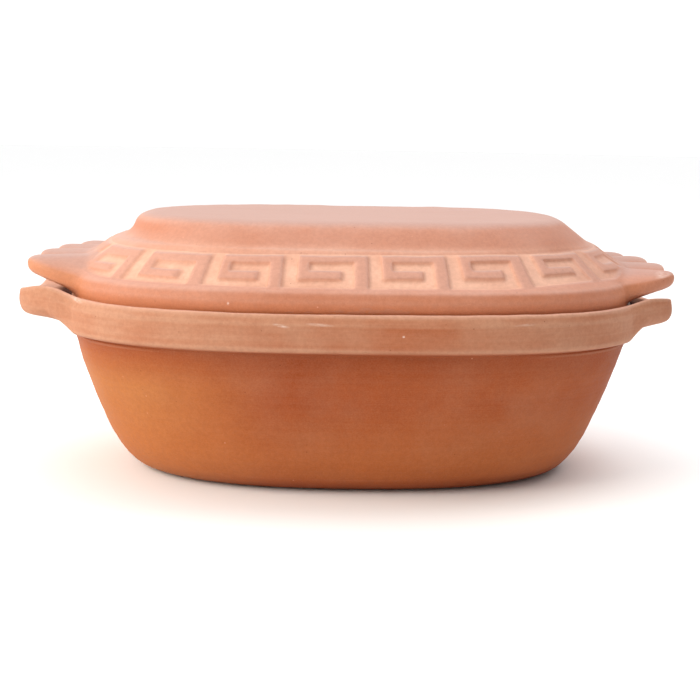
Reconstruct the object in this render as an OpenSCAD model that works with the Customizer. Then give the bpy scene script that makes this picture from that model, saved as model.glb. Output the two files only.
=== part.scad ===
// Oval clay roaster: a flared pot with two end lugs and a domed lid with a
// Greek-key band and two fluted lugs. Each half is one moulded piece.
// Origin: centre of the flat base, on the table. +X long axis, +Z up.

/* [Plan] */
// Half length of the pot at the crest of its rim
rim_a = 168.5; // [158:0.5:174]
// Half width of the pot at the crest of its rim
rim_b = 118; // [108:0.5:128]

/* [Pot] */
// Height of the rim crest above the table
rim_z = 106.6; // [98:0.2:116]
// Thickness of the pot wall, measured level
wall_t = 8.2; // [6:0.2:10]
// Thickness of the pot floor
floor_t = 9; // [7:0.2:12]
// How far the wall leans in from the rim to the foot
wall_lean = 23.2; // [18:0.2:28]
// Height of the thick band round the rim
band_h = 19.4; // [17:0.2:23]
// How far the band stands out past the rim crest
band_out = 3.4; // [2:0.1:5]
// Depth of the step in the rim that carries the lid
seat_drop = 4.1; // [3:0.1:6]

/* [Pot lugs] */
// Reach of the lug on the left, from the centre of the pot
pot_reach_left = 196.5; // [190:0.5:204]
// Reach of the lug on the right, from the centre of the pot
pot_reach_right = 191.5; // [188:0.5:204]
// Rise of the two horns of the left lug above the rim
horn_left = 4.3; // [0:0.1:5]
// Rise of the two horns of the right lug above the rim
horn_right = 2.3; // [0:0.1:5]
// Depth of the finger dip between the horns of the left lug
dip_left = 6; // [2:0.5:9]
// Depth of the finger dip between the horns of the right lug
dip_right = 9; // [2:0.5:9]

/* [Lid] */
// Height of the flat top of the lid above its seat
lid_h = 48.6; // [42:0.2:56]
// Thickness of the lid
lid_t = 8; // [6:0.2:9.5]
// Play between the lid and the rim of the pot
play = 1; // [0.6:0.1:1.6]
// Reach of the lid lug on the left, from the centre
lid_reach_left = 182.5; // [178:0.5:190]
// Reach of the lid lug on the right, from the centre
lid_reach_right = 186; // [180:0.5:190]
// Depth of the flutes in the lid lugs
flute = 3.2; // [1:0.2:4]

/* [Key band] */
// Number of key figures round the lid
keys = 18; // [14:1:20]
// Height of the key relief
relief = 1.4; // [0.4:0.2:2]

/* [Hidden] */
clay = [0.80, 0.50, 0.34];
clay_lid = [0.87, 0.62, 0.49];

// ---- plan curves -----------------------------------------------------------
// Radius of an oval (superellipse) with half axes a, b and squareness n.
function rad(a, b, n, th) =
    pow(pow(abs(cos(th)) / a, n) + pow(abs(sin(th)) / b, n), -1 / n);
// Smooth step from 0 to 1.
function st(t) = let (c = min(1, max(0, t))) c * c * (3 - 2 * c);
function mix(a, b, t) = a + (b - a) * t;
// Rounded maximum of two heights.
function smax(a, b, k) = let (h = max(k - abs(a - b), 0) / k) max(a, b) + h * h * k / 4;
// Angle off the long axis, negative on the front side, the same at both ends.
function off(th) = asin(sin(th));
function pt(r, th, z) = [r * cos(th), r * sin(th), z];

// ---- meshing ---------------------------------------------------------------
// Closed skin over rings of points. Neighbouring rings have the same count, or
// one has half the points of the other. The first and last are capped.
function ring_at(rings, i) = i == 0 ? 0 : ring_at(rings, i - 1) + len(rings[i - 1]);
function band_same(a, b, n) = [for (j = [0:n - 1]) let (k = (j + 1) % n)
    each [[a + j, b + j, b + k], [a + j, b + k, a + k]]];
function band_down(a, b, n) = [for (j = [0:n / 2 - 1]) let (k = (2 * j + 2) % n, m = (j + 1) % (n / 2))
    each [[a + 2 * j, b + j, a + 2 * j + 1], [a + 2 * j + 1, b + j, b + m], [a + 2 * j + 1, b + m, a + k]]];
function band_up(a, b, n) = [for (j = [0:n / 2 - 1]) let (k = (2 * j + 2) % n, m = (j + 1) % (n / 2))
    each [[a + j, b + 2 * j, b + 2 * j + 1], [a + j, b + 2 * j + 1, a + m], [a + m, b + 2 * j + 1, b + k]]];
module skin(rings, z_first, z_last) {
    starts = [for (i = [0:len(rings) - 1]) ring_at(rings, i)];
    total = ring_at(rings, len(rings));
    last = len(rings) - 1;
    pts = concat([for (r = rings) each r], [[0, 0, z_first], [0, 0, z_last]]);
    faces = concat(
        [for (i = [0:last - 1]) let (n = len(rings[i]), m = len(rings[i + 1]))
            each (n == m ? band_same(starts[i], starts[i + 1], n)
                : n > m ? band_down(starts[i], starts[i + 1], n)
                : band_up(starts[i], starts[i + 1], m))],
        [for (j = [0:len(rings[0]) - 1]) [total, j, (j + 1) % len(rings[0])]],
        [for (j = [0:len(rings[last]) - 1]) [total + 1, starts[last] + (j + 1) % len(rings[last]), starts[last] + j]]);
    polyhedron(points = pts, faces = faces, convexity = 10);
}

// ---- pot -------------------------------------------------------------------
// Columns: every 2 degrees across the lugs, every 4 degrees along the sides.
pot_th = concat([for (t = [-26:2:26]) t], [for (t = [30:4:150]) t],
    [for (t = [154:2:206]) t], [for (t = [210:4:330]) t]);
seat_z = rim_z - seat_drop;
band_z = rim_z - band_h;
wall_z = band_z - 2.8;
// Level inset of the outer wall from the rim crest at height z.
function wall_in(z) = 5.6 + (wall_z - z) * wall_lean / 78;
// How much of a lug there is at an angle off the long axis.
function pot_w(p) = st((25.5 - abs(p)) / 11.5);
function pot_reach(th) = abs(cos(th)) < 0.01 ? 190
    : ((cos(th) < 0 ? pot_reach_left : pot_reach_right - 0.3 * max(0, min(off(th), 18)))
        - 0.036 * min(off(th) * off(th), 400)) / cos(off(th));
// Two horns at the corners of a lug, and the finger dip between them.
dip_most = band_h - 10.4;
function lug_rise(th) = let (p = abs(off(th)), left = cos(th) < 0)
    (left ? horn_left : horn_right) * exp(-pow((p - 19.4) / (p < 19.4 ? 5 : 4.2), 2))
    - (left ? min(dip_left, dip_most) * st((12.8 - p) / 7)
        : min(dip_right, dip_most) * st(((off(th) > 0 ? 16 : 14.5) - p) / 6));
function pot_sq(z) = z < wall_z ? mix(2.38, 3.0, max(0, z) / wall_z) : 2.78;
// Underside of a lug, which sags a little between the horns.
function lug_foot(p) = band_z + 7 - 2.6 * st((12.5 - p) / 6);
// One ring point: d is the inset from the crest, f how far it follows the lug,
// t its height in the lug, from 0 at the underside to 1 at the crest. Inside the
// crest t counts from the seat.
function pot_pt(th, d, z, f, t, dl) = let (
    p = abs(off(th)), low = z < band_z + 3, wt = pot_w(p), w = (low ? pow(wt, 1.35) : wt) * f,
    r0 = rad(rim_a - d, rim_b - d, pot_sq(z), th),
    rl = pot_reach(th) + dl,
    k = (low ? st((25.8 - p) / 6) : st((27.5 - p) / 6.5)) * (f > 0 ? 1 : 0),
    crest = rim_z + 0.2 + lug_rise(th),
    foot = d > 0 && t > 0 ? min(crest - 0.2, seat_z - 1) : lug_foot(p))
    pt(mix(r0, rl, w), th, mix(z, t < 0 ? foot + t * 12.6 : mix(foot, crest, t), k))
        - [f == 0 && d < wall_in(z) + 3 && z <= wall_z ? 0.9 * st(z / 12) * st((wall_z - z) / 8) : 0, 0, 0];
// Rows: [inset, height, follow, height in the lug, extra reach]
pot_rows = [
    [48, 0, 0, 0, 0], [41, 1.2, 0, 0, 0], [wall_in(5) + 5.6, 5, 0, 0, 0],
    [wall_in(13) + 1.8, 13, 0, 0, 0], [wall_in(27), 27, 0, 0, 0], [wall_in(49), 49, 0, 0, 0],
    [wall_in(71), 71, 0, 0, 0], [wall_in(wall_z), wall_z, 0, 0, 0],
    [3.6, wall_z + 0.3, 0.13, -0.49, 0], [1.4, wall_z + 0.9, 0.4, -0.17, 0],
    [-1.6, band_z - 0.3, 1, -0.03, -5.4], [-band_out + 0.4, band_z + 1.6, 1, 0.14, -2.4],
    [-band_out, band_z + 7, 1, 0.43, -0.4], [-band_out + 0.2, rim_z - 6, 1, 0.64, 0],
    [-band_out + 1.3, rim_z - 2, 1, 0.9, -0.8], [-0.6, rim_z - 0.1, 1, 1, -3],
    [0.4, rim_z, 0.85, 0.85, -3.4], [1.2, rim_z - 0.4, 0.45, 0.55, -2], [2, rim_z - 1.2, 0.03, 0.42, 0],
    [2.1, seat_z, 0, 0, 0], [11, seat_z, 0, 0, 0], [11.8, seat_z - 1, 0, 0, 0],
    [wall_in(84) + wall_t, 84, 0, 0, 0], [wall_in(66) + wall_t, 66, 0, 0, 0],
    [wall_in(48) + wall_t, 48, 0, 0, 0], [wall_in(30) + wall_t + 0.3, 30, 0, 0, 0],
    [wall_in(20) + wall_t + 2.4, 20, 0, 0, 0], [wall_in(14) + wall_t + 7, floor_t + 4.4, 0, 0, 0],
    [wall_in(10) + wall_t + 14, floor_t + 1.2, 0, 0, 0], [wall_in(9) + wall_t + 24, floor_t, 0, 0, 0]];
module pot() {
    color(clay)
    skin([for (r = pot_rows) [for (th = pot_th) pot_pt(th, r[0], r[1], r[2], r[3], r[4])]],
        0, floor_t);
}

// ---- lid -------------------------------------------------------------------
band_sq = 2.5;
mid_in = 15;
// Arc length along the middle of the key band, from the middle of the front.
arc_step = 2;
function mid_pt(t) = let (r = rad(rim_a - mid_in, rim_b - mid_in, band_sq, t - 90))
    [r * cos(t - 90), r * sin(t - 90)];
function arc_sum(i) = i == 0 ? [0] : let (a = arc_sum(i - 1))
    concat(a, [a[i - 1] + norm(mid_pt(i * arc_step) - mid_pt((i - 1) * arc_step))]);
arc_len = arc_sum(360 / arc_step);
arc_all = arc_len[360 / arc_step];
arc_to_t = [for (i = [0:360 / arc_step]) [arc_len[i], i * arc_step]];
// Edges of the strokes of one key, from left to right and from top to bottom.
key_u = [0, 0.18, 0.315, 0.685, 0.83];
key_v = [0, 0.232, 0.482, 0.75, 1];
bevel_u = 0.012;
bevel_v = 0.028;
// Raised strokes: rows from top to bottom, columns from left to right.
key_map = [[0, 1, 1, 1, 1], [0, 1, 0, 0, 1], [0, 1, 1, 0, 1], [0, 0, 0, 0, 1]];
// Starts of the first keys, set out by hand across the front; the rest are even.
key_marks = [-170, -126, -79, -38, 7, 49, 94, 141, 186];
function key_at(k) = k < 8 ? key_marks[k]
    : mix(key_marks[8], arc_all + key_marks[0], (k - 8) / (keys - 8));
// How far the strokes wander down the band along the front, at the four knots of
// its height.
knots = [0, 0.232, 0.75, 1];
drifts = [[[-230, 0], [-170, 0.08], [-60, 0.07], [-15, 0.02], [28, 0], [75, -0.03], [118, 0]],
    [[-230, 0], [-170, 0.15], [-105, 0.12], [-60, 0.08], [-15, 0], [28, -0.02], [75, -0.07], [118, -0.065], [160, -0.03], [230, 0]],
    [[-230, 0], [-170, 0.11], [-105, 0.09], [-60, 0.05], [-15, 0.01], [28, -0.035], [75, -0.067], [118, -0.13], [160, -0.1], [230, 0]],
    [[-230, 0], [-170, 0.02], [-60, 0.03], [-15, 0.03], [28, 0.01], [75, 0], [118, -0.11], [160, -0.1], [230, 0]]];
function drift(s, v) = let (i = v <= knots[1] ? 0 : v <= knots[2] ? 1 : 2,
    t = min(1, max(0, (v - knots[i]) / (knots[i + 1] - knots[i]))))
    mix(lookup(s, drifts[i]), lookup(s, drifts[i + 1]), t);
lid_cols = [for (k = [0:keys - 1]) for (c = [0:4]) for (e = [0, 1])
    let (u = e == 0 ? key_u[c] + bevel_u : (c < 4 ? key_u[c + 1] : 1) - bevel_u,
        s = mix(key_at(k), key_at(k + 1), u), sw = s < 0 ? s + arc_all : s)
    let (t = lookup(sw, arc_to_t) - 90, r = rad(rim_a - mid_in, rim_b - mid_in, band_sq, t))
    [r * cos(t), r * sin(t), c, mid_normal(r * cos(t), r * sin(t)), s > arc_all / 2 ? s - arc_all : s]];
// Direction square to the middle of the key band, pointing out.
function mid_normal(x, y) = let (
    gx = sign(x) * pow(abs(x) / (rim_a - mid_in), band_sq - 1) / (rim_a - mid_in),
    gy = sign(y) * pow(abs(y) / (rim_b - mid_in), band_sq - 1) / (rim_b - mid_in),
    l = norm([gx, gy])) [gx / l, gy / l];
// Angle at which a column crosses the ring at inset d: columns run square to the
// key band, so that its strokes do too.
function col_th(c, d) = let (s = mid_in - max(2, min(42, d))) atan2(c[1] + s * c[3][1], c[0] + s * c[3][0]);
// Every other column, for the plain surfaces above the band and inside.
lid_half = [for (i = [0:2:len(lid_cols) - 1]) lid_cols[i]];
lid_quarter = [for (i = [0:2:len(lid_half) - 1]) lid_half[i]];

top_z = seat_z + lid_h;
// Foot of the sloping face and its crease, as inset and height.
slope_lo = [7, seat_z + 16.4];
slope_hi = [25, seat_z + 31.6];
crease = [31, top_z - 13];
function slope_at(v) = mix(slope_lo, slope_hi, 1 - v);
// The relief stands off the slope along its normal.
out_n = let (d = slope_hi - slope_lo, l = norm(d)) [-d[1] / l, d[0] / l];
function lid_w(p) = st((23.5 - abs(p)) / 8.5);
// 1 on the crest of a rib, 0 in the flutes between the four ribs.
function lobe(p) = abs(p) > 13.95 ? 1 : pow(abs(sin(p * 180 / 9.3)), 0.62);
// The lugs are a little longer at the front.
function lid_reach(th) = let (p = off(th), left = cos(th) < 0) abs(cos(th)) < 0.01 ? 180
    : ((left ? lid_reach_left : lid_reach_right) - (left ? 0.0228 : 0.031) * min(p * p, 300)
        - (left ? 0.44 : 0.31) * max(-16, min(16, p)) - flute * (left ? 1.35 : 1.75) * (1 - lobe(p))) / cos(p);
// Height of the top of a lug, with its four ribs; away from the lugs it is the
// top of the belt.
function lug_top(th, share) = let (p = off(th), left = cos(th) < 0,
    crest = seat_z + (left ? 25.1 : 22.7 + 0.07 * max(-16, min(8, p))) - 0.003 * min(p * p, 300))
    mix(seat_z + 16.7, crest - flute * (left ? 1 : 1.3) * share * (1 - lobe(p)),
        left ? st((24 - abs(p)) / 9) : st((24.5 - abs(p)) / 9.5));
function lid_r(th, d, n) = rad(rim_a - d, rim_b - d, n, th);
// Point on the face above the belt: in the lugs it rises to the lug's top.
function face_pt(th, d, z, n) = let (m = st((27 - abs(off(th))) / 9),
    e = d - 2.4 * m * st((slope_hi[1] - z) / 10) - (cos(th) > 0 ? 1.8 * m : 0))
    pt(lid_r(th, e, n), th, m > 0 ? smax(z, lug_top(th, 0.6), 2.6 * m + 0.01) : z);
// Share of the relief: softer beside the lugs, none where a lug covers the face.
function deep(th, z) = let (p = abs(off(th)))
    mix(0.8, 1, st((p - 23) / 16)) * (1 - st((25 - p) / 4) * (1 - st((z - lug_top(th, 0.6) - 0.2) / 1.8)));
// Belt and lug rows: [inset, height, follow, back from the tip, height in the lug
// below its top (zero or negative) or above the seat (positive)]
belt_rows = [
    [4.1, 16.6, 0.3, 0, 0], [3.2, 15.9, 0.64, 0, -0.1], [2.3, 14.4, 1, 3.4, -0.8],
    [1.6, 12.7, 1, 0.8, -2.6], [1.3, 11, 1, 0, -5.2], [1.3, 9.6, 1, 0.8, 16.6],
    [1.6, 8.2, 1, 4.2, 14.2], [2, 6.8, 0.5, 2, 10.6], [2.6, 4.4, 0.08, 0, 5.8]];
function belt_pt(th, r) = let (p = off(th), w = lid_w(p), top = r[4] <= 0,
    r0 = lid_r(th, r[0], mix(2.78, 2.6, r[1] / 17)),
    lower = cos(th) > 0 ? 3.2 : 0, crest = lug_top(th, 1),
    back = r[3] + (top ? 0.07 * max(0, min(28, p + 14)) : 0),
    rl = mix(lid_r(th, 4, 2.6), lid_reach(th) - back, r[2]))
    pt(mix(r0, rl, w), th, top
        ? crest - mix(16.7 - r[1], -r[4] * (crest - seat_z - 16.6 + lower) / 8.5, w)
        : seat_z + mix(r[1], r[4] - (r[4] > 8 ? lower : 0), w));
function key_level(c, row) = row < 0 ? 0 : row > 3 ? 1 : key_map[row][c];
// Rows of the key band, each with the stroke row it belongs to.
key_rows = concat([[-bevel_v, -1]],
    [for (r = [0:3]) for (e = [0, 1]) [e == 0 ? key_v[r] + bevel_v : key_v[r + 1] - bevel_v, r]],
    [[1 + bevel_v, 4]]);
// Plain ring: [inset, height, squareness, push at the left end, at the right end]
function plain(c, q) = let (th = col_th(c, q[0]))
    pt(lid_r(th, q[0], q[2]) + (len(q) < 4 ? 0
        : q[3] * st((-cos(th) - 0.72) / 0.24) + q[4] * st((cos(th) - 0.6) / 0.32)), th, q[1]);
module lid() {
    color(clay_lid)
    skin(concat(
        // underside of the dome, from the middle outwards
        [for (q = [[62, top_z - lid_t, 2.7], [50, top_z - lid_t - 0.8, 2.65], [42, top_z - lid_t - 6, 2.6],
                [33, top_z - lid_t - 14, 2.5]])
            [for (c = lid_quarter) plain(c, q)]],
        [for (q = [[3.2 + play - 1 + lid_t + 4.4, seat_z + 13.5, 2.6]]) [for (c = lid_half) plain(c, q)]],
        [for (q = [[2.1 + play + lid_t + 0.6, seat_z + 6, 2.78], [2.1 + play + lid_t, seat_z, 2.78],
                [2.1 + play, seat_z, 2.78]]) [for (c = lid_cols) plain(c, q)]],
        // belt and lugs, from the seat up
        [for (i = [len(belt_rows) - 1:-1:0]) let (r = belt_rows[i])
            [for (c = lid_cols) belt_pt(col_th(c, r[0]), r)]],
        // key band, from its lower border up
        [for (i = [len(key_rows) - 1:-1:0]) let (q = key_rows[i])
            [for (c = lid_cols) let (s = slope_at(q[0] + drift(c[4], q[0])), th = col_th(c, s[0]),
                h = relief * (1 - (1 - key_level(c[2], q[1])) * deep(th, s[1])))
                face_pt(th, s[0] + out_n[0] * h, s[1] + out_n[1] * h, band_sq)]],
        // crease, shoulder and top
        [[for (c = lid_half) plain(c, [crease[0], crease[1], 2.6, -4, 0.8])]],
        [for (q = [[39.5, top_z - 4.6, 2.7, -1.5, -1.4], [44, top_z - 1.8, 2.75, 0, -1],
                [50, top_z - 0.5, 2.78, 0, 0], [62, top_z, 2.78, 0, 0]])
            [for (c = lid_quarter) plain(c, q)]]),
        top_z - lid_t, top_z);
}

pot();
lid();
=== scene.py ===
import bpy
import math
import numpy as np
from mathutils import Matrix, Vector


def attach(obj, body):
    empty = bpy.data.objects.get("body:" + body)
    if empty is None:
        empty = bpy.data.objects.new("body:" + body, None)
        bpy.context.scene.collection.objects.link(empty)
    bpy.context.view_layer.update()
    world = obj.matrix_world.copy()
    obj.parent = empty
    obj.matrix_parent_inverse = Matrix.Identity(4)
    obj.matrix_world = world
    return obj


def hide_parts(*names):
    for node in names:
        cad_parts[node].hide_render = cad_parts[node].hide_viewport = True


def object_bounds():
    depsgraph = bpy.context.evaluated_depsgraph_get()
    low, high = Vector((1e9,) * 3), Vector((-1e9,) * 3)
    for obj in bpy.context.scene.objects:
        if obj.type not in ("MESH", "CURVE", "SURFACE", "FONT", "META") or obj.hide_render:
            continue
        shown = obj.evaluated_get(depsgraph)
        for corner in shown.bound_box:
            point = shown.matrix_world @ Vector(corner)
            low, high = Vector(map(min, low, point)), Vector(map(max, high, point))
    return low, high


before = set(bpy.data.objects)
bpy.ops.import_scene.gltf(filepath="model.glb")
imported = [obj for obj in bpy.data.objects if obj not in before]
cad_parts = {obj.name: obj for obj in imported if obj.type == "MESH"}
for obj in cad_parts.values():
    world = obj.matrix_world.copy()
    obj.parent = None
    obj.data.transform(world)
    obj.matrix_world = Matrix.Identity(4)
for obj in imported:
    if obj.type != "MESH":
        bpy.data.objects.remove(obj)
cad_box = [list(c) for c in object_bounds()]
CAD_LO, CAD_HI = np.array(cad_box[0]) * 1000, np.array(cad_box[1]) * 1000

# ---------------------------------------------------------------------------
# Shape, in millimetres. The same plan curves as the CAD parts.
# ---------------------------------------------------------------------------
RIM_A, RIM_B, RIM_Z = 168.5, 118.0, 106.6
WALL_T, FLOOR_T, WALL_LEAN = 8.2, 9.0, 23.2
BAND_Z, BAND_OUT, SEAT_Z = 87.2, 3.4, 102.5
WALL_Z = BAND_Z - 2.8
POT_LEFT, POT_RIGHT = 196.5, 191.5
LID_LEFT, LID_RIGHT = 182.6, 186.2
TOP_Z, LID_T, PLAY = 151.1, 8.0, 1.0
BAND_SQ, MID_IN, RELIEF, FLUTE = 2.5, 15.0, 1.35, 3.3
KEYS = 18
MARKS = [-170, -126, -79, -38, 7, 49, 94, 141, 186]
KEY_U = np.array([0, 0.18, 0.315, 0.685, 0.83, 1.0])
KEY_V = np.array([0, 0.232, 0.482, 0.75, 1.0])
# How far the strokes wander down the band (columns: v = 0, 0.232, 0.75, 1) along it
DRIFT_S = [-230, -170, -105, -60, -15, 28, 75, 118, 160, 230]
DRIFT = np.array([[0, 0, 0, 0], [0.08, 0.15, 0.11, 0.005], [0.08, 0.12, 0.09, 0.005], [0.07, 0.08, 0.05, 0.005],
                  [0.02, 0.0, 0.01, 0.005], [0, -0.02, -0.035, 0.0], [-0.03, -0.07, -0.067, 0.0],
                  [0, -0.065, -0.13, -0.11], [0, -0.03, -0.10, -0.10], [0, 0, 0, 0]])
KEY_MAP = np.array([[0, 1, 1, 1, 1], [0, 1, 0, 0, 1], [0, 1, 1, 0, 1], [0, 0, 0, 0, 1]], float)
SLOPE_LO, SLOPE_HI = np.array([7.0, SEAT_Z + 16.4]), np.array([25.0, SEAT_Z + 31.6])


def st(t):
    c = np.clip(t, 0, 1)
    return c * c * (3 - 2 * c)


def mix(a, b, t):
    return a + (b - a) * t


def rad(a, b, n, th):
    return (np.abs(np.cos(th) / a) ** n + np.abs(np.sin(th) / b) ** n) ** (-1 / n)


def smax(a, b, k):
    h = np.maximum(k - np.abs(a - b), 0) / k
    return np.maximum(a, b) + h * h * k / 4


def off(th):
    return np.degrees(np.arcsin(np.sin(th)))


def ring(r, th, z):
    return np.stack([r * np.cos(th), r * np.sin(th), z + 0 * th], -1)


def spline(ctrl, counts):
    """Cubic B-spline down the rows of ctrl (rows, columns, 3), through both ends."""
    c = np.concatenate([ctrl[:1], ctrl[:1], ctrl, ctrl[-1:], ctrl[-1:]])
    segs = len(c) - 3
    if np.isscalar(counts):
        counts = [counts] * segs
    counts = list(counts) + [counts[-1]] * (segs - len(counts))
    out = []
    for i in range(segs):
        n = counts[i]
        for j in range(n + (1 if i == segs - 1 else 0)):
            t = j / n
            b = [(1 - t) ** 3 / 6, (3 * t ** 3 - 6 * t * t + 4) / 6,
                 (-3 * t ** 3 + 3 * t * t + 3 * t + 1) / 6, t ** 3 / 6]
            out.append(sum(w * c[i + k] for k, w in enumerate(b)))
    return np.stack(out)


class Waves:
    """Smooth seeded noise: a sum of sine waves in random directions."""

    def __init__(self, seed, size, count=14):
        r = np.random.RandomState(seed)
        d = r.normal(size=(count, 3))
        d /= np.linalg.norm(d, axis=1)[:, None]
        self.k = d * (2 * np.pi / size) * r.uniform(0.6, 1.6, (count, 1))
        self.p = r.uniform(0, 2 * np.pi, count)
        self.a = 1 / math.sqrt(count / 2)

    def __call__(self, pts):
        return np.sin(pts @ self.k.T + self.p).sum(-1) * self.a * 0.5


def normals(g):
    """Normals of a grid that closes round its columns."""
    dc = np.roll(g, -1, 1) - np.roll(g, 1, 1)
    dr = np.empty_like(g)
    dr[1:-1] = g[2:] - g[:-2]
    dr[0], dr[-1] = g[1] - g[0], g[-1] - g[-2]
    n = np.cross(dc, dr)
    l = np.linalg.norm(n, axis=-1, keepdims=True)
    return n / np.maximum(l, 1e-9)


def make(name, g, first, last, masks):
    """Mesh from a grid of rows and columns, closed by a point at each end."""
    rows, cols = g.shape[:2]
    v = np.concatenate([g.reshape(-1, 3), [first], [last]])
    v = np.clip(v, CAD_LO, CAD_HI) / 1000
    i = np.arange(rows - 1)[:, None] * cols
    j = np.arange(cols)[None]
    k = (j + 1) % cols
    quads = np.stack([i + j, i + k, i + cols + k, i + cols + j], -1).reshape(-1, 4)
    a, b = rows * cols, rows * cols + 1
    end = (rows - 1) * cols
    fans = [(a, int((c + 1) % cols), int(c)) for c in range(cols)]
    fans += [(b, int(end + c), int(end + (c + 1) % cols)) for c in range(cols)]
    me = bpy.data.meshes.new(name)
    me.from_pydata(v.tolist(), [], quads.tolist() + fans)
    me.polygons.foreach_set("use_smooth", np.ones(len(me.polygons), bool))
    for key, m in masks.items():
        at = me.attributes.new(key, "FLOAT", "POINT")
        full = np.concatenate([m.reshape(-1), [m[0].mean()], [m[-1].mean()]])
        at.data.foreach_set("value", full.astype(np.float32))
    me.validate()
    me.update()
    ob = bpy.data.objects.new(name, me)
    bpy.context.scene.collection.objects.link(ob)
    return ob


def convexity(g, n, reach_mm=1.6):
    """How far each point stands proud of the surface about reach_mm away, in mm."""
    out = np.zeros(g.shape[:2])
    step_c = np.linalg.norm(np.roll(g, -1, 1) - g, axis=-1)
    sc = max(1, int(round(reach_mm / max(0.3, float(np.median(step_c))))))
    around = (np.roll(g, sc, 1) + np.roll(g, -sc, 1)) / 2
    dc = np.linalg.norm(np.roll(g, sc, 1) - g, axis=-1)
    out += ((g - around) * n).sum(-1) * (reach_mm / np.maximum(dc, 0.4)) ** 2
    # along the rows the spacing changes, so look the same distance away by arc length
    d = np.linalg.norm(np.diff(g, axis=0), axis=-1)
    s = np.concatenate([np.zeros((1, g.shape[1])), np.cumsum(d, 0)])
    up, dn = np.empty_like(g), np.empty_like(g)
    for c in range(g.shape[1]):
        for a in range(3):
            up[:, c, a] = np.interp(s[:, c] + reach_mm, s[:, c], g[:, c, a])
            dn[:, c, a] = np.interp(s[:, c] - reach_mm, s[:, c], g[:, c, a])
    out += ((g - (up + dn) / 2) * n).sum(-1)
    return out


# ---------------------------------------------------------------------------
# Pot
# ---------------------------------------------------------------------------
def wall_in(z):
    return 5.6 + (WALL_Z - z) * WALL_LEAN / 78


def pot_w(p):
    return st((25.5 - np.abs(p)) / 11.5)


def pot_reach(th):
    p = off(th)
    c = np.where(np.abs(np.cos(p * np.pi / 180)) < 0.3, 1, np.cos(p * np.pi / 180))
    base = np.where(np.cos(th) < 0, POT_LEFT, POT_RIGHT - 0.3 * np.clip(p, 0, 18))
    return np.where(np.abs(np.cos(th)) < 0.3, 190, (base - 0.036 * np.minimum(p * p, 400)) / c)


def lug_rise(th):
    """Two horns at the corners of a lug, and the finger dip between them."""
    q, left = off(th), np.cos(th) < 0
    p = np.abs(q)
    horn = np.where(left, 4.3, 2.3) * np.exp(-((p - 19.4) / np.where(p < 19.4, 5.0, 4.2)) ** 2)
    return horn - np.where(left, 6.0 * st((12.8 - p) / 7), 8.9 * st((14.5 + 1.5 * (q > 0) - p) / 6))


def pot_sq(z):
    return mix(2.38, 3.0, np.clip(z / WALL_Z, 0, 1)) if z < WALL_Z else 2.78


def pot_row(th, d, z, f, t, dl):
    """A ring: inset, height, follow, height in the lug (0 foot, 1 crest), extra reach."""
    p = np.abs(off(th))
    wt = pot_w(p)
    low = z < BAND_Z + 3
    w = (wt ** 1.35 if low else wt) * f
    r0 = rad(RIM_A - d, RIM_B - d, pot_sq(z), th)
    rl = pot_reach(th) + dl
    k = st((25.8 - p) / 6) if low else st((27.5 - p) / 6.5)
    crest = RIM_Z + 0.8 + lug_rise(th)
    foot = np.minimum(crest - 0.2, SEAT_Z - 1) if d > 0 and t > 0 else BAND_Z + 7 - 2.6 * st((12.5 - p) / 6)
    lift = foot + t * 13.2 if t < 0 else mix(foot, crest, t)
    return ring(mix(r0, rl, w), th, mix(z, lift, k * (1 if f > 0 else 0)))


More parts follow.
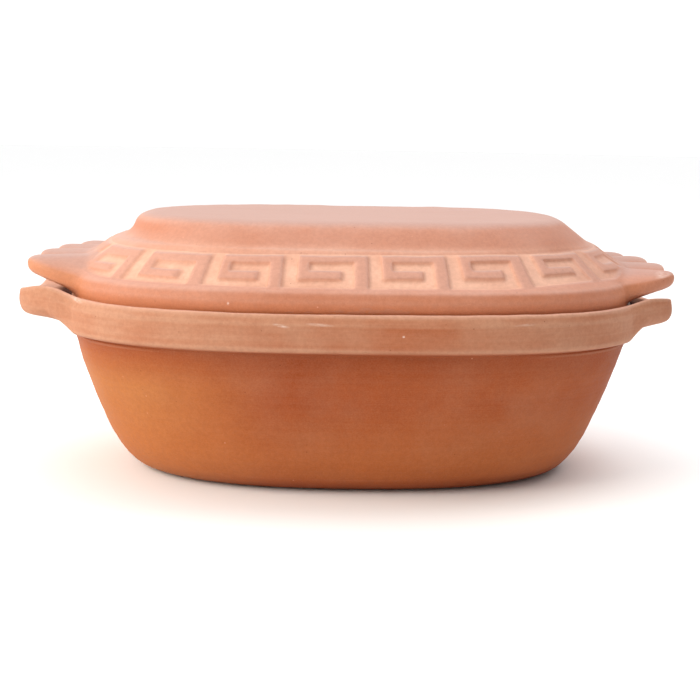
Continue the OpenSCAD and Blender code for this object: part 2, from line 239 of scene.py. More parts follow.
POT_ROWS = [
    [60, 0, 0, 0, 0], [48, 0, 0, 0, 0], [44, 0.2, 0, 0, 0], [40.2, 1.4, 0, 0, 0],
    [wall_in(5) + 5.4, 5, 0, 0, 0],
    [wall_in(13) + 1.6, 13, 0, 0, 0], [wall_in(20) + 0.3, 20, 0, 0, 0], [wall_in(27), 27, 0, 0, 0],
    [wall_in(38), 38, 0, 0, 0], [wall_in(49), 49, 0, 0, 0], [wall_in(60), 60, 0, 0, 0],
    [wall_in(71), 71, 0, 0, 0], [wall_in(78), 78, 0, 0, 0],
    [wall_in(82.4), 82.4, 0, 0, 0], [wall_in(84) - 0.1, 84, 0, 0, 0],
    [4.2, WALL_Z + 0.5, 0.13, -0.47, 0], [1.4, WALL_Z + 0.9, 0.4, -0.17, 0],
    [-1.4, BAND_Z - 1.0, 0.93, -0.06, -4.6], [-BAND_OUT - 0.1, BAND_Z + 0.2, 1, 0.03, -1.9],
    [-BAND_OUT - 0.3, BAND_Z + 3.2, 1, 0.22, -0.3],
    [-BAND_OUT + 0.1, BAND_Z + 8, 1, 0.44, 0.2], [-BAND_OUT - 0.05, RIM_Z - 7, 1, 0.57, 0.2],
    [-BAND_OUT - 0.15, RIM_Z - 5, 1, 0.68, 0.1], [-BAND_OUT + 0.6, RIM_Z - 3.4, 1, 0.8, -0.3],
    [-BAND_OUT + 1.2, RIM_Z - 1.2, 1, 0.95, -0.3], [-1.3, RIM_Z + 0.35, 1, 1.01, -1.9],
    [0.4, RIM_Z + 0.35, 0.8, 0.9, -3], [1.5, RIM_Z - 0.1, 0.4, 0.55, -2],
    [2.2, RIM_Z - 1.2, 0.03, 0.4, 0],
    [2.1, SEAT_Z + 0.2, 0, 0, 0], [2.5, SEAT_Z - 0.2, 0, 0, 0], [6, SEAT_Z, 0, 0, 0],
    [11, SEAT_Z + 0.1, 0, 0, 0], [11.9, SEAT_Z - 0.4, 0, 0, 0], [12.2, SEAT_Z - 3, 0, 0, 0],
    [wall_in(84) + WALL_T, 84, 0, 0, 0], [wall_in(66) + WALL_T, 66, 0, 0, 0],
    [wall_in(48) + WALL_T, 48, 0, 0, 0], [wall_in(30) + WALL_T + 0.3, 30, 0, 0, 0],
    [wall_in(20) + WALL_T + 2.4, 20, 0, 0, 0], [wall_in(14) + WALL_T + 7, FLOOR_T + 4.4, 0, 0, 0],
    [wall_in(10) + WALL_T + 14, FLOOR_T + 1.2, 0, 0, 0], [wall_in(9) + WALL_T + 24, FLOOR_T, 0, 0, 0],
    [75, FLOOR_T, 0, 0, 0], [100, FLOOR_T, 0, 0, 0]]


def even_angles(count, n, a, b):
    t = np.linspace(0, 2 * np.pi, 7201)
    r = rad(a, b, n, t)
    x, y = r * np.cos(t), r * np.sin(t)
    s = np.concatenate([[0], np.cumsum(np.hypot(np.diff(x), np.diff(y)))])
    return np.interp(np.arange(count) / count * s[-1], s, t)


def build_pot():
    th = even_angles(600, 2.78, RIM_A, RIM_B)
    ctrl = np.stack([pot_row(th, *r) for r in POT_ROWS])
    counts = [2, 2, 3, 3, 3, 4, 4, 4, 4, 4, 4, 4, 3, 3, 3] + [4] * 17 + [3] * 20
    g = spline(ctrl, counts)
    n = normals(g)
    z = g[..., 2]
    big, mid, fine = Waves(3, 120), Waves(5, 26), Waves(8, 9)
    body = st((z - 1.5) / 8)
    d = 0.35 * big(g) + 0.14 * mid(g) + 0.03 * fine(g)
    # faint turning lines round the wall
    outer = (n[..., :2] * g[..., :2]).sum(-1) > 0
    turn = (np.sin(z * 2 * np.pi / 7.3 + 0.8 * big(g)) + 0.6 * np.sin(z * 2 * np.pi / 3.1 + 2 + mid(g)))
    d += np.where(outer, 0.045 * turn, 0.02 * turn) * st((WALL_Z - z) / 4) * body
    d = d * (1 - 0.9 * outer * st(1.2 - np.abs(z - 85) / 5))
    g = g + n * (d * body)[..., None]
    g[..., 0] -= 0.4 * st(z / 12) * st((80 - z) / 10) * outer
    full = st((np.abs(n[..., 0]) - 0.35) / 0.4) * outer * np.sign(n[..., 0])
    g[..., 0] += full * (1.0 * st((z - 26) / 22) * st((81 - z) / 16) - 0.9 * st(z / 8) * st((30 - z) / 14))
    g[..., 2] = np.maximum(g[..., 2], 0)
    n = normals(g)
    cv = convexity(g, n)
    r, ang = np.hypot(g[..., 0], g[..., 1]), np.arctan2(g[..., 1], g[..., 0])
    over = r - rad(RIM_A, RIM_B, 2.78, ang)
    # painted shade in the hollow between the horns, deeper on the right
    p, left = off(ang), np.cos(ang) < 0
    behind = st((g[..., 1] + 14) / 16)
    tip = (n[..., 0] * np.cos(ang) + n[..., 1] * np.sin(ang))
    hollow_shade = st((lid_reach(ang) + 2 - r) / 5) * st((23 + 3 * behind - np.abs(p)) / 3)
    top = np.where(left, RIM_Z - 1 + 4 * behind * st((7 - over) / 4), RIM_Z - 1.5 + 6 * behind)
    hollow_shade *= st((z - 96.2) / 1.2) * st((top - z) / 2.5) * st((0.75 - tip) / 0.3)
    band = st((z - BAND_Z + 2.5) / 4) * outer
    return make("pot_clay", g, [0, 0, 0], [0, 0, FLOOR_T],
                {"edge": np.clip(cv / 0.5, -1, 1), "band": band * 1.0, "hollow_shade": hollow_shade,
                 "inside": 1.0 * ((~outer) & (z > 5) & (z < SEAT_Z - 0.6))})


# ---------------------------------------------------------------------------
# Lid
# ---------------------------------------------------------------------------
def arc_table():
    t = np.radians(np.arange(0, 361, 2) - 90)
    r = rad(RIM_A - MID_IN, RIM_B - MID_IN, BAND_SQ, t)
    x, y = r * np.cos(t), r * np.sin(t)
    return np.concatenate([[0], np.cumsum(np.hypot(np.diff(x), np.diff(y)))]), t


ARC, ARC_T = arc_table()
ARC_ALL = ARC[-1]


def key_at(k):
    return MARKS[k] if k < 8 else mix(MARKS[8], ARC_ALL + MARKS[0], (k - 8) / (KEYS - 8))


def drift(s, v):
    """Shift of the strokes down the band at arc length s (array) and at v."""
    s = np.mod(s + 400, ARC_ALL) - 400
    at = [np.interp(s, DRIFT_S, DRIFT[:, i]) for i in range(4)]
    knots = [0, 0.232, 0.75, 1.0]
    for i in range(3):
        if v <= knots[i + 1] or i == 2:
            t = min(1, max(0, (v - knots[i]) / (knots[i + 1] - knots[i])))
            return mix(at[i], at[i + 1], t)


def lid_columns():
    us, ks = [], []
    w = 0.021
    for k in range(KEYS):
        for c in range(5):
            a, b = KEY_U[c], KEY_U[c + 1]
            inner = {0: 3, 1: 2, 2: 6, 3: 2, 4: 3}[c]
            pts = [a - w, a - w * 0.33, a + w * 0.33, a + w]
            pts += [mix(a + w, b - w, (i + 1) / (inner + 1)) for i in range(inner)]
            us += pts
            ks += [k] * len(pts)
    us, ks = np.array(us), np.array(ks)
    s = np.array([mix(key_at(k), key_at(k + 1), u) if u >= 0 else
                  key_at(k) + u * (key_at(k + 1) - key_at(k)) for k, u in zip(ks, us)])
    th = np.interp(np.mod(s, ARC_ALL), ARC, ARC_T)
    a, b, n = RIM_A - MID_IN, RIM_B - MID_IN, BAND_SQ
    r = rad(a, b, n, th)
    foot = np.stack([r * np.cos(th), r * np.sin(th)], -1)
    out = np.stack([np.sign(foot[:, 0]) * np.abs(foot[:, 0]) ** (n - 1) / a ** n,
                    np.sign(foot[:, 1]) * np.abs(foot[:, 1]) ** (n - 1) / b ** n], -1)
    out /= np.linalg.norm(out, axis=1)[:, None]

    def angle(d):
        """Angles of the columns where they cross the ring at inset d."""
        q = foot + out * (MID_IN - np.clip(d, 2, 42) + np.zeros(len(foot)))[:, None]
        return np.arctan2(q[:, 1], q[:, 0])
    return angle, us, s


def lid_w(p):
    return st((23.5 - np.abs(p)) / 8.5)


def lobe(p):
    """1 on the crest of a rib, 0 in the flutes between the four ribs."""
    return np.where(np.abs(p) > 13.95, 1.0, np.abs(np.sin(np.radians(p * 180 / 9.3))) ** 0.62)


def lid_reach(th):
    p, left = off(th), np.cos(th) < 0
    c = np.where(np.abs(np.cos(p * np.pi / 180)) < 0.3, 1, np.cos(p * np.pi / 180))
    base = np.where(left, LID_LEFT, LID_RIGHT) - np.where(left, 0.0228, 0.031) * np.minimum(p * p, 300)
    skew = np.where(left, 0.44, 0.31) * np.clip(p, -16, 16)
    return np.where(np.abs(np.cos(th)) < 0.3, 180, (base - skew - np.where(left, 1, 1.3) * FLUTE * 1.35 * (1 - lobe(p))) / c)


def lug_top(th, share=1.0):
    """Height of the top of a lug; away from the lugs it is the top of the belt."""
    p, left = off(th), np.cos(th) < 0
    crest = np.where(left, SEAT_Z + 25.3, SEAT_Z + 22.9 + 0.07 * np.clip(p, -16, 8)) - 0.003 * np.minimum(p * p, 300)
    weight = np.where(left, st((24 - np.abs(p)) / 9.0), st((24.5 - np.abs(p)) / 9.5))
    return mix(SEAT_Z + 16.7, crest - np.where(left, 1, 1.3) * FLUTE * share * (1 - lobe(p)), weight)


def lid_r(th, d, n):
    return rad(RIM_A - d, RIM_B - d, n, th)


# inset, height, follow, back from the tip, height in the lug below its top
# (negative) or above the seat, rib share
BELT_ROWS = [
    [4.3, 16.1, 0.3, 0, 0, 0.75], [3.3, 15.5, 0.62, 0, 0, 0.9], [2.5, 14.7, 0.93, 2.0, -0.2, 1],
    [2.0, 13.6, 1, 0.5, -1.0, 1], [1.5, 12.0, 1, -0.1, -3.2, 1], [1.25, 10.6, 1, 0, -5.8, 1],
    [1.3, 9.6, 1, 0.9, 17.0, 1], [1.5, 8.4, 1, 3.8, 14.8, 1], [1.8, 7.2, 0.75, 4.4, 13.0, 1],
    [2.2, 5.6, 0.4, 2, 10.2, 1], [2.7, 3.8, 0.08, 0, 5.8, 1], [2.9, 2.0, 0, 0, 2.6, 1]]


def belt_row(th, r):
    p = off(th)
    w = lid_w(p)
    r0 = lid_r(th, r[0], mix(2.78, 2.6, r[1] / 17))
    lower = np.where(np.cos(th) > 0, 3.2, 0)
    if r[4] <= 0:
        back = r[3] + 0.07 * np.clip(p + 14, 0, 28)
        crest = lug_top(th, r[5])
        z = crest - mix(16.7 - r[1], -r[4] * (crest - SEAT_Z - 17 + lower) / 8.3, w)
    else:
        back = r[3]
        z = SEAT_Z + mix(r[1], r[4] - lower * (r[4] > 8), w)
    rl = mix(lid_r(th, 4, 2.6), lid_reach(th) - back, r[2])
    return ring(mix(r0, rl, w), th, z)


def slope_at(v):
    return mix(SLOPE_LO, SLOPE_HI, 1 - v)


_d = SLOPE_HI - SLOPE_LO
OUT_N = np.array([-_d[1], _d[0]]) / np.linalg.norm(_d)


def clear_of_lug(th, z):
    """1 where the sloping face is clear of a lug's top, 0 where it is covered."""
    m = st((25 - np.abs(off(th))) / 4)
    return 1 - m * (1 - st((z - lug_top(th, 0.6) - 0.2) / 1.8))


def step(t, w):
    return st((t + w) / (2 * w))


def key_relief(us, v, wu=0.021, wv=0.042):
    """Height of the key relief, from 0 to 1, at the columns' us and at v down the band."""
    h = 0
    ve = list(KEY_V)
    for r in range(-1, 5):
        lo = step(v - ve[r], wv) if r > 0 else step(v + 0.012, 0.062)
        hi = step(v - ve[r + 1], wv) if r < 4 else 0.0
        wr = lo - hi
        if r == -1:
            wr = 1 - step(v + 0.012, 0.062)
            lev = np.zeros(len(us))
        elif r == 4:
            wr = step(v - ve[4], wv)
            lev = np.ones(len(us))
        else:
            cells = [KEY_MAP[r][4]] + list(KEY_MAP[r]) + [KEY_MAP[r][0]]
            edges = list(KEY_U)
            lev = np.full(len(us), cells[0])
            for e, x in enumerate(edges):
                lev = lev + (cells[e + 1] - cells[e]) * step(us - x, wu)
        h = h + wr * lev
    return h


def build_lid():
    angle, us, arc = lid_columns()
    n_cols = len(us)

    def plain(d, z, n):
        th = angle(d)
        return ring(lid_r(th, d, n), th, z)

    inner = [plain(104, TOP_Z - LID_T, 2.7), plain(80, TOP_Z - LID_T, 2.7), plain(62, TOP_Z - LID_T, 2.7),
             plain(50, TOP_Z - LID_T - 0.8, 2.65), plain(42, TOP_Z - LID_T - 6, 2.6),
             plain(33, TOP_Z - LID_T - 14, 2.5), plain(24, SEAT_Z + 20, 2.55),
             plain(15.6, SEAT_Z + 13.5, 2.6), plain(12.6, SEAT_Z + 9.5, 2.68),
             plain(11.3, SEAT_Z + 5, 2.78), plain(11.1, SEAT_Z + 1, 2.78), plain(10.9, SEAT_Z + 0.05, 2.78),
             plain(9.8, SEAT_Z, 2.78), plain(5, SEAT_Z, 2.78), plain(3.9, SEAT_Z, 2.78),
             plain(3.15, SEAT_Z + 0.5, 2.78)]
    belt = [belt_row(angle(r[0]), r) for r in reversed(BELT_ROWS)]
    wu, wv = 0.026, 0.05
    counts = [1] * 5 + [2] * 9 + [4] * 12
    # key band, from its lower border up
    vs = []
    for r in (4, 3, 2, 1, 0):
        vs += [KEY_V[r] + wv, KEY_V[r] + wv / 3, KEY_V[r] - wv / 3, KEY_V[r] - wv] if r > 0 else [0.05, 0.01, -0.03, -0.074]
        if r > 0:
            a, b = KEY_V[r] - wv, KEY_V[r - 1] + wv
            vs += [mix(a, b, t) for t in (0.33, 0.67)]
    wob_u, wob_v = Waves(21, 30), Waves(22, 34)
    rows, rel, seen = [], [], []
    for v in vs:
        q = [mix(SLOPE_LO[i], SLOPE_HI[i], 1 - v - drift(arc, v)) for i in (0, 1)]
        th = angle(q[0])
        base = ring(lid_r(th, q[0], BAND_SQ), th, q[1])
        h = key_relief(us + 0.006 * wob_u(base), v + 0.012 * wob_v(base), wu, wv)
        if v >= 1.04:
            h = np.ones(n_cols)
        # the strokes are softer beside the lugs, and end where the lug covers them
        p = np.abs(off(th))
        free = clear_of_lug(th, q[1])
        deep = mix(0.8, 1.0, st((p - 23) / 16)) * free
        h = 1 - (1 - h) * deep
        d, z = q[0] + OUT_N[0] * RELIEF * h, q[1] + OUT_N[1] * RELIEF * h
        m = st((27 - p) / 9)
        d = d - 2.4 * m * st((SLOPE_HI[1] - z) / 10) - 1.8 * m * (np.cos(th) > 0)
        zz = np.where(m > 0, smax(z, lug_top(th, 0.6), 2.6 * m + 0.01), z)
        rows.append(np.stack([lid_r(th, d, BAND_SQ) * np.cos(th), lid_r(th, d, BAND_SQ) * np.sin(th), zz], -1))
        rel.append(h)
        seen.append(free * np.where(p < 40, mix(0.85, 1, st((p - 20) / 16)), 1))
    band = np.stack(rows)
    under = spline(np.stack(inner + belt + rows[:1]), counts)[:-4]
    # steep face, shoulder and flat top
    hi2, hi3 = slope_at(-0.135), slope_at(-0.18)
    upper = [rows[-1]]
    # inset, height, squareness, push at the left end and at the right end
    for d, z, n, left, right in ((hi2[0], hi2[1], BAND_SQ, -0.2, 0.1), (hi3[0], hi3[1], 2.52, -1.4, 0.3),
                                 (30.2, TOP_Z - 13.4, 2.58, -3.2, 0.8), (33.2, TOP_Z - 10.4, 2.62, -4.2, 0.6),
                                 (36.2, TOP_Z - 7.2, 2.66, -3.2, -0.6), (39.4, TOP_Z - 4.0, 2.7, -1.2, -1.6),
                                 (43, TOP_Z - 1.6, 2.74, 0, -1.2), (48, TOP_Z - 0.4, 2.78, 0, -0.4),
                                 (54, TOP_Z - 0.1, 2.78, 0, 0), (66, TOP_Z - 0.1, 2.78, 0, 0),
                                 (80, TOP_Z - 0.2, 2.78, 0, 0), (100, TOP_Z - 0.3, 2.78, 0, 0)):
        th = angle(d)
        over_lug = st((27 - np.abs(off(th))) / 9) * (np.cos(th) > 0) * 1.5 * st((33 - d) / 6.5)
        upper.append(ring(lid_r(th, d, n) + over_lug + left * st((-np.cos(th) - 0.72) / 0.24)
                          + right * st((np.cos(th) - 0.6) / 0.32), th, z))
    top = spline(np.stack(upper), [3, 3, 3, 4, 4, 4, 4, 3, 3, 3, 2, 1, 1, 1])[3:]
    g = np.concatenate([under, band, top])
    n_u, n_b = len(under), len(band)
    relief = np.zeros(g.shape[:2])
    relief[n_u:n_u + n_b] = np.stack(rel)
    relief[:n_u] = 1
    relief[n_u + n_b:] = np.stack(rel)[-1]
    in_band = np.zeros(g.shape[:2])
    in_band[n_u:n_u + n_b] = np.stack(seen)
    fade = st((TOP_Z - 10.5 - g[n_u + n_b:, :, 2]) / 4.5)
    in_band[n_u + n_b:] = np.stack(seen)[-1] * fade * 0.4
    n = normals(g)
    z = g[..., 2]
    big, mid, fine = Waves(13, 110), Waves(15, 24), Waves(18, 8)
    body = st((z - SEAT_Z - 0.5) / 5)
    d = 0.3 * big(g) + 0.12 * mid(g) + 0.035 * fine(g)
    g = g + n * (d * body)[..., None]
    n = normals(g)
    cv = convexity(g, n)
    return make("lid_clay", g, [0, 0, TOP_Z - LID_T], [0, 0, TOP_Z - 0.3],
                {"edge": np.clip(cv / 0.5, -1, 1), "raised": relief, "band": in_band,
                 "inside": 1.0 * (n[..., 2] < -0.25)})


# ---------------------------------------------------------------------------
# Fired clay
# ---------------------------------------------------------------------------
class Nodes:
    def __init__(self, mat):
        mat.use_nodes = True
        self.t = mat.node_tree
        self.t.nodes.clear()

    def new(self, kind, props=None, **inputs):
        n = self.t.nodes.new(kind)
        for k, v in (props or {}).items():
            setattr(n, k, v)
        for k, v in inputs.items():
            self.put(n, k, v)
        return n

    def put(self, n, key, v):
        sock = n.inputs[int(key[1:])] if key[0] == "i" and key[1:].isdigit() else n.inputs[key.replace("_", " ")]
        if hasattr(v, "is_output"):
            self.t.links.new(v, sock)
        else:
            sock.default_value = v

    def math(self, op, a, b=0.0, clamp=False):
        return self.new("ShaderNodeMath", {"operation": op, "use_clamp": clamp}, i0=a, i1=b).outputs[0]

    def map(self, x, a, b, c=0.0, d=1.0):
        return self.new("ShaderNodeMapRange", None, i0=x, i1=a, i2=b, i3=c, i4=d).outputs[0]

    def mix(self, f, a, b, blend="MIX"):
        n = self.new("ShaderNodeMix", {"data_type": "RGBA", "blend_type": blend, "clamp_factor": True})
        self.put(n, "i0", f)
        self.put(n, "i6", a)
        self.put(n, "i7", b)
        return n.outputs[2]

    def noise(self, vec, scale, detail=4.0, rough=0.5):
        return self.new("ShaderNodeTexNoise", {"noise_dimensions": "3D"}, Vector=vec, Scale=scale,
                        Detail=detail, Roughness=rough).outputs["Fac"]

    def attr(self, name):
        return self.new("ShaderNodeAttribute", {"attribute_name": name}).outputs["Fac"]

    def scaled(self, vec, s, loc=(0, 0, 0)):
        return self.new("ShaderNodeMapping", {"vector_type": "POINT"}, Vector=vec, Scale=s, Location=loc).outputs[0]


def rgb(r, g, b):
    return (r, g, b, 1.0)


def srgb(h, a=1.0):
    c = [int(h[i:i + 2], 16) / 255 for i in (0, 2, 4)]
    return tuple(x / 12.92 if x <= 0.04045 else ((x + 0.055) / 1.055) ** 2.4 for x in c) + (a,)


def clay(name, deep, warm, dusty, gloss, marks=(), lid=False):
    mat = bpy.data.materials.new(name)
    k = Nodes(mat)
    co = k.new("ShaderNodeTexCoord").outputs["Object"]
    sep = k.new("ShaderNodeSeparateXYZ", None, Vector=co)
    nrm = k.new("ShaderNodeSeparateXYZ", None, Vector=k.new("ShaderNodeNewGeometry").outputs["Normal"])
    # broad clouds of warmer and deeper clay
    cloud = k.noise(co, 9.0, 5.0, 0.55)
    cloud2 = k.noise(k.scaled(co, (1, 1, 1), (3.1, 1.7, 0.4)), 26.0, 4.0, 0.55)
    col = k.mix(k.map(cloud, 0.36, 0.66), deep, warm)
    col = k.mix(k.math("MULTIPLY", k.map(cloud2, 0.42, 0.72), 0.22), col, dusty)
    # faint turning lines: noise squeezed flat along z
    lines = k.noise(k.scaled(co, (5, 5, 420)), 1.0, 3.0, 0.6)
    lines2 = k.noise(k.scaled(co, (14, 14, 1500)), 1.0, 2.0, 0.5)
    line = k.math("ADD", k.map(lines, 0.35, 0.65, -1, 1), k.map(lines2, 0.35, 0.65, -0.5, 0.5))
    col = k.mix(k.map(line, -1.2, 1.2, 0.0, 0.06), col, tuple(min(1, 1.2 * c) for c in dusty[:3]) + (1,))
    if not lid:
        wipe = k.math("ADD", k.noise(k.scaled(co, (8, 8, 330), (0.3, 0.1, 0.7)), 1.0, 3.0, 0.6),
                      k.math("MULTIPLY", k.noise(k.scaled(co, (34, 34, 60), (0.1, 0.5, 0.2)), 1.0, 2.0, 0.5), 0.5))
        wipe = k.map(wipe, 0.55, 0.95, -1.0, 1.0)
    # fine grain and sparse grit
    grain = k.noise(co, 1300.0, 3.0, 0.65)
    grain2 = k.noise(co, 420.0, 3.0, 0.6)
    dark = tuple(0.45 * c for c in deep[:3]) + (1,)
    pale = tuple(min(1, 1.5 * c) for c in dusty[:3]) + (1,)
    vor = k.new("ShaderNodeTexVoronoi", {"feature": "F1", "distance": "EUCLIDEAN"}, Vector=co, Scale=210.0)
    speck = k.math("MULTIPLY", k.map(vor.outputs["Distance"], 0.10, 0.04),
                   k.map(k.new("ShaderNodeSeparateColor", None, Color=vor.outputs["Color"]).outputs[0], 0.86, 0.9))
    vor2 = k.new("ShaderNodeTexVoronoi", {"feature": "F1", "distance": "EUCLIDEAN"}, Vector=k.scaled(co, (1, 1, 1), (0.7, 0.2, 0.9)), Scale=160.0)
    speck2 = k.math("MULTIPLY", k.map(vor2.outputs["Distance"], 0.09, 0.03),
                    k.map(k.new("ShaderNodeSeparateColor", None, Color=vor2.outputs["Color"]).outputs[0], 0.9, 0.93))
    # dust: on the top sides, on the band and on edges, where it is also a painted highlight; grooves get painted
    # shade
    edge = k.attr("edge")
    ridge = k.map(edge, 0.12, 0.75)
    groove_shade = k.map(edge, -0.12, -0.7)
    up = k.map(nrm.outputs["Z"], 0.45 if lid else 0.25, 0.98)
    dust_n = k.map(k.noise(k.scaled(co, (1, 1, 1.6), (0.2, 4.1, 2.2)), 38.0, 6.0, 0.62), 0.3, 0.7)
    band = k.attr("band")
    if lid:
        raised = k.attr("raised")
        # the lower belt is clearer orange clay, lightened as painted bounce light from below, and lighter to the
        # right as painted light
        low = k.map(sep.outputs["Z"], 0.116, 0.107)
        belt = k.mix(k.map(sep.outputs["X"], 0.0, 0.12), rgb(0.545, 0.172, 0.066), rgb(0.60, 0.205, 0.095))
        col = k.mix(k.math("MULTIPLY", low, 0.8), col, belt)
        dust = k.math("ADD", k.math("MULTIPLY", up, 0.8), k.math("MULTIPLY", k.math("MULTIPLY", raised, band), 0.6))
        height = k.math("MULTIPLY", k.map(sep.outputs["Z"], 0.108, 0.120, 0.0, 0.3), k.map(sep.outputs["X"], 0.0, 0.12, 1.0, 0.3))
        dust = k.math("ADD", dust, k.math("MULTIPLY", height, k.math("SUBTRACT", 1.0, band)))
    else:
        patch = k.new("ShaderNodeMapping", {"vector_type": "TEXTURE"}, Vector=co, Location=(0.022, -0.121, 0.094),
                      Scale=(0.062, 0.03, 0.02)).outputs[0]
        patch = k.new("ShaderNodeVectorMath", {"operation": "LENGTH"}, i0=patch).outputs["Value"]
        bare = k.math("MULTIPLY", k.map(k.math("ADD", patch, k.map(cloud2, 0.3, 0.7, -0.2, 0.2)), 1.25, 0.15), 0.5)
        dust = k.math("ADD", k.math("MULTIPLY", up, 0.75),
                      k.math("MULTIPLY", k.math("MULTIPLY", band, 0.8), k.math("SUBTRACT", 1.0, bare)))
        streak = k.math("MULTIPLY", wipe, k.math("MULTIPLY", band, 0.14))
        dust = k.math("ADD", dust, streak, clamp=True)
        # painted light and shade: the left of the wall is paler and yellower, as if lit from the left; the lower
        # wall is lighter, as if lit from the floor; painted shade under the band and at the foot
        painted_left_light = k.math("MULTIPLY", k.map(sep.outputs["X"], -0.045, -0.115), k.map(sep.outputs["Z"], 0.084, 0.06))
        col = k.mix(k.math("MULTIPLY", painted_left_light, 0.55), col, rgb(0.53, 0.21, 0.058))
        # painted bounce light: the lower wall is lighter and more orange
        low = k.math("MULTIPLY", k.map(sep.outputs["Z"], 0.055, 0.022), k.map(sep.outputs["Z"], 0.003, 0.011))
        col = k.mix(k.math("MULTIPLY", low, 0.5), col, rgb(0.49, 0.145, 0.036))
        # painted shade under the band's lip and at the foot, weaker at the far left
        shade = k.math("MAXIMUM", k.math("MULTIPLY", k.map(sep.outputs["Z"], 0.066, 0.083), k.map(sep.outputs["Z"], 0.0885, 0.0868)),
                       k.map(sep.outputs["Z"], 0.009, 0.001))
        shade = k.math("MULTIPLY", shade, k.map(sep.outputs["X"], -0.15, -0.04, 0.1, 0.5))
        col = k.mix(shade, col, rgb(0.21, 0.032, 0.005))
    dust = k.math("MULTIPLY", dust, k.math("ADD", 0.72, k.math("MULTIPLY", dust_n, 0.5)))
    # convex edges are paler: dust and wear, and a painted highlight along them, as on the rim's top edge
    dust = k.math("ADD", dust, k.math("MULTIPLY", ridge, 0.35), clamp=True)
    col = k.mix(dust, col, dusty)
    if not lid:
        # faces that look up, the rim crest most of all, are paler pink: dust, and a painted highlight along the rim
        col = k.mix(k.math("MULTIPLY", k.map(nrm.outputs["Z"], 0.35, 0.85), 0.72), col, rgb(0.64, 0.36, 0.27))
        # the ends of the lugs are darker and redder on the faces that do not look up
        tip = k.math("ADD", k.map(sep.outputs["X"], 0.175, 0.186, 0.0, 0.6), k.map(sep.outputs["X"], -0.183, -0.195, 0.0, 0.45))
        col = k.mix(k.math("MULTIPLY", tip, k.map(nrm.outputs["Z"], 0.75, 0.35)), col, rgb(0.31, 0.082, 0.022))
    if lid:
        # the faces that look up are paler and greyer: dust, and a painted sheen of the bright room above
        up_dust_sheen = k.math("MULTIPLY", k.map(nrm.outputs["Z"], 0.8, 0.99), k.map(sep.outputs["Z"], 0.1202, 0.1226))
        col = k.mix(k.math("MULTIPLY", up_dust_sheen, 0.75), col, rgb(0.425, 0.272, 0.237))
        side = k.math("MULTIPLY", k.map(k.math("ABSOLUTE", sep.outputs["X"]), 0.140, 0.158), k.map(nrm.outputs["Z"], 0.99, 0.45))
        side = k.math("MULTIPLY", side, k.map(sep.outputs["X"], -0.1, 0.1, 0.6, 0.5))
        col = k.mix(side, col, rgb(0.53, 0.185, 0.065))
        rib = k.math("MULTIPLY", k.map(sep.outputs["X"], 0.150, 0.165), k.map(sep.outputs["Y"], -0.015, -0.04))
        col = k.mix(k.math("MULTIPLY", rib, 0.4), col, rgb(0.45, 0.185, 0.125))
        # the sunk strokes are paler and yellower: slip left in them, and painted light that lifts the shade in the
        # recesses
        sunk = k.math("MULTIPLY", k.math("SUBTRACT", 1.0, raised), band)
        sunk = k.math("MULTIPLY", sunk, k.math("ADD", 0.5, k.math("MULTIPLY", dust_n, 0.45)))
        col = k.mix(sunk, col, rgb(0.77, 0.45, 0.325))
    # painted shade in grooves and creases
    col = k.mix(k.math("MULTIPLY", groove_shade, 0.22 if not lid else 0.1), col, dark)
    col = k.mix(k.map(grain, 0.3, 0.7, 0.0, 0.11), col, pale)
    col = k.mix(k.map(grain2, 0.62, 0.38, 0.0, 0.12), col, dark)
    col = k.mix(k.math("MULTIPLY", speck, 0.55), col, dark)
    col = k.mix(k.math("MULTIPLY", speck2, 0.5), col, pale)
    # a few scuffs and chalk marks, and one painted highlight on the pot's rim crest
    scuff = None
    for (cx, cy, cz), (sx, sy, sz), tilt, force in marks:
        m = k.new("ShaderNodeMapping", {"vector_type": "TEXTURE"}, Vector=co, Location=(cx / 1000, cy / 1000, cz / 1000),
                  Rotation=(0, math.radians(tilt), 0), Scale=(sx / 1000, sy / 1000, sz / 1000)).outputs[0]
        dist = k.new("ShaderNodeVectorMath", {"operation": "LENGTH"}, i0=m).outputs["Value"]
        rough = k.map(k.noise(k.scaled(co, (260, 260, 1500)), 1.0, 4.0, 0.7), 0.38, 0.6)
        f = k.math("MULTIPLY", k.math("MULTIPLY", k.map(dist, 1.0, 0.35), rough), force)
        scuff = f if scuff is None else k.math("MAXIMUM", scuff, f)
    if scuff is not None:
        col = k.mix(scuff, col, srgb("F2E4DC"))
    if not lid:
        # painted shade: the hollow between the lug horns is coloured near black
        col = k.mix(k.math("MULTIPLY", k.attr("hollow_shade"), 0.98), col, rgb(0.05, 0.009, 0.002))
    # the unglazed inside is a little greyer
    col = k.mix(k.math("MULTIPLY", k.attr("inside"), 0.25), col, tuple(0.8 * c for c in dusty[:3]) + (1,))
    rough = k.math("ADD", 0.56, k.math("MULTIPLY", k.map(grain2, 0.3, 0.7), 0.14))
    rough = k.math("SUBTRACT", rough, k.math("MULTIPLY", ridge, 0.1))
    if not lid:
        # the painted shade in the hollow gets full roughness, so it shows no reflection
        rough = k.math("ADD", rough, k.attr("hollow_shade"), clamp=True)
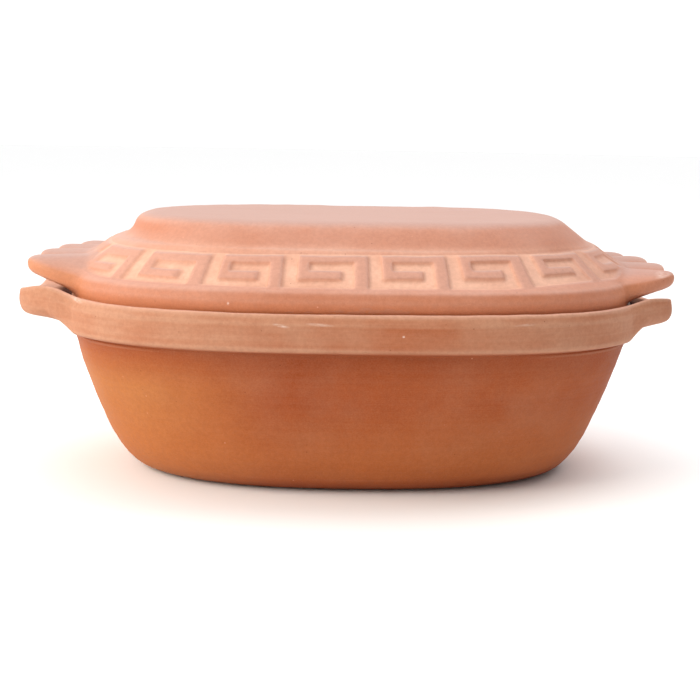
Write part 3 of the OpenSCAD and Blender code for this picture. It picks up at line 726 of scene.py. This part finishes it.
    # relief of the grain, the turning lines and small pits
    h = k.math("MULTIPLY", grain, 0.5)
    h = k.math("ADD", h, k.math("MULTIPLY", grain2, 1.1))
    h = k.math("ADD", h, k.math("MULTIPLY", lines, 0.6 if not lid else 0.3))
    h = k.math("ADD", h, k.math("MULTIPLY", k.noise(co, 120.0, 4.0, 0.55), 1.5))
    h = k.math("SUBTRACT", h, k.math("MULTIPLY", speck, 0.8))
    bump = k.new("ShaderNodeBump", None, Strength=0.55, Distance=0.00016, Height=h)
    bsdf = k.new("ShaderNodeBsdfPrincipled", None, Base_Color=col, Roughness=rough, Normal=bump.outputs[0])
    bsdf.inputs["Specular IOR Level"].default_value = gloss
    out = k.new("ShaderNodeOutputMaterial")
    k.t.links.new(bsdf.outputs[0], out.inputs[0])
    return mat


pot_marks = [
    ((-37.8, -120.3, 100.9), (5.0, 6, 1.0), 9, 0.42), ((-17.7, -120.8, 101.8), (8.5, 6, 0.9), 3, 0.24),
    ((89.4, -113.6, 102.2), (8.0, 8, 0.8), -3, 0.15), ((25.4, -121.4, 96.3), (0.8, 5, 0.8), 0, 0.7),
    # a painted highlight along the rim crest at the left
    ((-151.5, -75.9, 106.2), (6, 12, 1.3), 14, 0.3),
]
lid_marks = [((-65.6, -112.8, 111), (0.8, 5, 1.0), 0, 0.8), ((176, -52, 122.2), (7, 9, 2.4), -18, 0.3),
             ((-178, -47, 124.0), (5, 9, 2.0), 20, 0.3)]

pot = build_pot()
lid = build_lid()
pot.data.materials.append(clay("fired_clay_pot", rgb(0.30, 0.055, 0.010), rgb(0.35, 0.073, 0.0145),
                               rgb(0.475, 0.232, 0.142), 0.14, pot_marks))
lid.data.materials.append(clay("fired_clay_lid", rgb(0.425, 0.125, 0.05), rgb(0.475, 0.155, 0.07),
                               rgb(0.535, 0.265, 0.19), 0.36, lid_marks, lid=True))
for ob, node, slot in ((pot, "pot", "pot_clay"), (lid, "lid", "lid_clay")):
    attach(ob, "root")
    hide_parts(node)
    print(ob.name, "triangles", sum(len(p.vertices) - 2 for p in ob.data.polygons))

# ---------------------------------------------------------------------------
# Stage, light and camera
# ---------------------------------------------------------------------------
scene = bpy.context.scene
scene.view_settings.view_transform = "Standard"

me = bpy.data.meshes.new("floor")
R, N = 9.0, 96
ring_pts = [(R * math.cos(2 * math.pi * i / N), R * math.sin(2 * math.pi * i / N), -0.0002) for i in range(N)]
me.from_pydata(ring_pts, [], [list(range(N))])
floor = bpy.data.objects.new("floor", me)
scene.collection.objects.link(floor)
fm = bpy.data.materials.new("pale_floor")
fm.use_nodes = True
fb = fm.node_tree.nodes["Principled BSDF"]
fb.inputs["Base Color"].default_value = (0.93, 0.93, 0.93, 1)
fb.inputs["Roughness"].default_value = 0.9
fb.inputs["Specular IOR Level"].default_value = 0.1
me.materials.append(fm)

WORLD_FRONT, WORLD_BACK, WORLD_TOP, WORLD_LEFT, WORLD_RIGHT = 0.26, 1.35, 0.8, 0.38, 0.16
world = bpy.data.worlds.new("studio")
scene.world = world
world.use_nodes = True
bg = world.node_tree.nodes["Background"]
wn = Nodes.__new__(Nodes)
wn.t = world.node_tree
direction = wn.new("ShaderNodeSeparateXYZ", None, Vector=wn.new("ShaderNodeTexCoord").outputs["Generated"])
dx, dy, dz = (direction.outputs[a] for a in "XYZ")
# a white room: open behind and above, darker in front, brighter on the left
glow = wn.map(dy, -0.35, 0.75, WORLD_FRONT, WORLD_BACK)
glow = wn.math("MAXIMUM", glow, wn.map(dz, 0.2, 0.9, 0.0, WORLD_TOP))
glow = wn.math("ADD", glow, wn.map(dx, -0.25, -0.95, 0.0, WORLD_LEFT))
glow = wn.math("SUBTRACT", glow, wn.map(dx, 0.35, 0.95, 0.0, WORLD_RIGHT), clamp=False)
wn.t.links.new(glow, bg.inputs["Strength"])
bg.inputs["Color"].default_value = (1, 1, 1, 1)


def area(name, loc, target, size, power, color=(1, 1, 1)):
    l = bpy.data.lights.new(name, "AREA")
    l.shape = "DISK"
    l.size = size
    l.energy = power
    l.color = color
    o = bpy.data.objects.new(name, l)
    o.location = loc
    o.rotation_euler = (Vector(target) - Vector(loc)).to_track_quat("-Z", "Y").to_euler()
    scene.collection.objects.link(o)
    return o


area("key", (-1.25, -0.6, 0.85), (0, 0, 0.08), 1.0, 19, (1.0, 0.965, 0.87))
area("right", (0.85, 0.1, 1.5), (0.05, 0, 0.1), 0.9, 7.0, (1.0, 0.98, 0.97))
area("low_left", (-1.3, -1.3, 0.3), (-0.05, 0, 0.04), 1.3, 5.5, (1.0, 0.96, 0.76))
sun = bpy.data.lights.new("overhead", "SUN")
sun.energy = 0.7
sun.angle = 1.2
sun_ob = bpy.data.objects.new("overhead", sun)
sun_ob.rotation_euler = (math.radians(-8), math.radians(6), 0)
scene.collection.objects.link(sun_ob)

cam_data = bpy.data.cameras.new("camera")
cam = bpy.data.objects.new("camera", cam_data)
scene.collection.objects.link(cam)
yaw, el, roll, dist = -0.01745429, 0.16671414, 0.01783605, 0.75
focal, cx, cy = 1220.41, 350.4, 328.23
tgt = Vector((0, 0, 0.08))
fwd = -Vector((math.sin(yaw) * math.cos(el), -math.cos(yaw) * math.cos(el), math.sin(el)))
right = Vector((math.cos(yaw), math.sin(yaw), 0))
up = right.cross(fwd)
r2 = math.cos(roll) * right + math.sin(roll) * up
u2 = -math.sin(roll) * right + math.cos(roll) * up
rot = Matrix((r2, u2, -fwd)).transposed()
cam.matrix_world = Matrix.Translation(tgt - fwd * dist) @ rot.to_4x4()
cam_data.sensor_width = 36
cam_data.sensor_fit = "HORIZONTAL"
cam_data.lens = focal * 36 / 700
cam_data.shift_x = (350 - cx) / 700
cam_data.shift_y = (cy - 350) / 700
cam_data.clip_start = 0.05
cam_data.clip_end = 50
cam_data.dof.use_dof = False
scene.camera = cam
